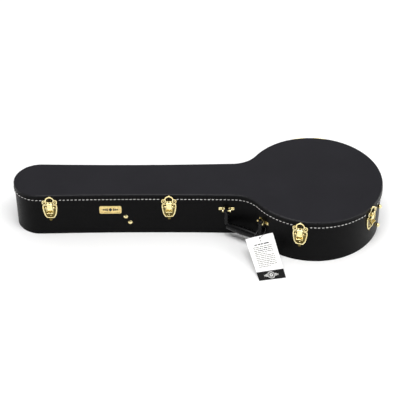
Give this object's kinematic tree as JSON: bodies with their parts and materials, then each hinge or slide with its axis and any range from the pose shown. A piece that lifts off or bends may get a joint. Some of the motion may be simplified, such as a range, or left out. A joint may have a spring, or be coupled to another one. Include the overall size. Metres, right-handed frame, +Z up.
{
  "type": "banjo case",
  "caption": "Hard-shell banjo case with a flat hinged lid, drop handle, draw latches, fittings and a padded interior with a lidded accessory box.",
  "frame": {"origin": "on the flat bottom face, under the centre of the round body", "axes": "+X towards the round end, -X towards the neck end, -Y the side with the handle and latches, +Y the side with the hinges, +Z up"},
  "size_m": [1.0479, 0.4747, 0.142],
  "materials": {
    "vinyl_covering": "satin grained vinyl",
    "edge_binding": "satin",
    "plywood": "raw",
    "plush_padding": "short pile",
    "plush_board": "flocked board",
    "ribbon": "woven",
    "steel": "plain",
    "handle_vinyl": "satin moulded vinyl",
    "card": "coated card",
    "clear_loop": "clear",
    "gilt_metal": "polished"
  },
  "bodies": {
    "base": {"base_bottom_covering": "vinyl_covering", "base_panel": "plywood", "base_covering": "vinyl_covering", "base_rim": "plywood", "base_liner": "plywood", "base_side_padding": "plush_padding", "base_floor_padding": "plush_padding", "neck_cradle_heel": "plush_padding", "neck_cradle_head": "plush_padding", "accessory_box": "plush_board", "accessory_lid_pin": "steel", "name_plate": "gilt_metal", "name_plate_pins": "gilt_metal", "end_feet": "gilt_metal", "side_studs": "gilt_metal", "handle_saddle_left": "gilt_metal", "handle_saddle_right": "gilt_metal", "saddle_rivets": "gilt_metal", "latch_plate_1": "gilt_metal", "latch_plate_2": "gilt_metal", "latch_plate_3": "gilt_metal", "latch_plate_4": "gilt_metal", "latch_rivets": "gilt_metal", "lever_stubs": "gilt_metal", "hinge_base_leaf_1": "gilt_metal", "hinge_base_leaf_2": "gilt_metal", "hinge_pins": "gilt_metal", "hinge_base_rivets": "gilt_metal"},
    "lid": {"lid_covering": "vinyl_covering", "lid_rim": "plywood", "lid_panel": "plywood", "lid_edge_binding": "edge_binding", "lid_padding": "plush_padding", "strike_plate_1": "gilt_metal", "strike_plate_2": "gilt_metal", "strike_plate_3": "gilt_metal", "strike_plate_4": "gilt_metal", "strike_rivets": "gilt_metal", "hinge_lid_leaf_1": "gilt_metal", "hinge_lid_leaf_2": "gilt_metal", "hinge_lid_rivets": "gilt_metal"},
    "handle": {"handle_grip": "handle_vinyl", "handle_core": "steel"},
    "tag": {"swing_tag": "card", "tag_tie": "clear_loop"},
    "box_lid": {"accessory_lid": "plush_board", "accessory_pull_tab": "ribbon"},
    "lever_body_1": {"lever_1": "gilt_metal", "claw_pin_1": "gilt_metal"},
    "claw_body_1": {"claw_1": "gilt_metal"},
    "lever_body_2": {"lever_2": "gilt_metal", "claw_pin_2": "gilt_metal"},
    "claw_body_2": {"claw_2": "gilt_metal"},
    "lever_body_3": {"lever_3": "gilt_metal", "claw_pin_3": "gilt_metal"},
    "claw_body_3": {"claw_3": "gilt_metal"},
    "lever_body_4": {"lever_4": "gilt_metal", "claw_pin_4": "gilt_metal"},
    "claw_body_4": {"claw_4": "gilt_metal"}
  },
  "joints": [
    {"name": "lid_hinge", "type": "hinge", "parent": "base", "child": "lid", "pos_m": [0, 0.1992, 0.12], "axis": [-1, 0, 0], "range_deg": [0, 105]},
    {"name": "handle_hinge", "type": "hinge", "parent": "base", "child": "handle", "pos_m": [-0.20221, -0.10687, 0.092], "axis": [-0.8784, 0.478, 0], "range_deg": [0, 125]},
    {"name": "tag_swing", "type": "hinge", "parent": "handle", "child": "tag", "pos_m": [-0.15512, -0.13249, 0.06462], "axis": [-0.8784, 0.478, 0], "range_deg": [-20, 5]},
    {"name": "box_lid_hinge", "type": "hinge", "parent": "base", "child": "box_lid", "pos_m": [-0.4645, 0, 0.051], "axis": [0, -1, 0], "range_deg": [0, 90]},
    {"name": "lever_1_hinge", "type": "hinge", "parent": "base", "child": "lever_body_1", "pos_m": [-0.74584, -0.07592, 0.101], "axis": [-0.9997, -0.0254, 0], "range_deg": [0, 90]},
    {"name": "claw_1_hinge", "type": "hinge", "parent": "lever_body_1", "child": "claw_body_1", "pos_m": [-0.74585, -0.07542, 0.093], "axis": [-0.9997, -0.0254, 0], "range_deg": [-99, 0]},
    {"name": "lever_2_hinge", "type": "hinge", "parent": "base", "child": "lever_body_2", "pos_m": [-0.41106, -0.07321, 0.101], "axis": [-1, 0.0092, 0], "range_deg": [0, 90]},
    {"name": "claw_2_hinge", "type": "hinge", "parent": "lever_body_2", "child": "claw_body_2", "pos_m": [-0.41105, -0.07271, 0.093], "axis": [-1, 0.0092, 0], "range_deg": [-99, 0]},
    {"name": "lever_3_hinge", "type": "hinge", "parent": "base", "child": "lever_body_3", "pos_m": [-0.05045, -0.19229, 0.101], "axis": [-0.9673, 0.2538, 0], "range_deg": [0, 90]},
    {"name": "claw_3_hinge", "type": "hinge", "parent": "lever_body_3", "child": "claw_body_3", "pos_m": [-0.05032, -0.19181, 0.093], "axis": [-0.9673, 0.2538, 0], "range_deg": [-99, 0]},
    {"name": "lever_4_hinge", "type": "hinge", "parent": "base", "child": "lever_body_4", "pos_m": [0.15666, -0.12239, 0.101], "axis": [-0.6157, -0.788, 0], "range_deg": [0, 90]},
    {"name": "claw_4_hinge", "type": "hinge", "parent": "lever_body_4", "child": "claw_body_4", "pos_m": [0.15626, -0.12209, 0.093], "axis": [-0.6157, -0.788, 0], "range_deg": [-99, 0]}
  ],
  "couplings": [
    {"joint": "claw_1_hinge", "follows": "lever_1_hinge", "ratio": -1.1},
    {"joint": "claw_2_hinge", "follows": "lever_2_hinge", "ratio": -1.1},
    {"joint": "claw_3_hinge", "follows": "lever_3_hinge", "ratio": -1.1},
    {"joint": "claw_4_hinge", "follows": "lever_4_hinge", "ratio": -1.1}
  ]
}
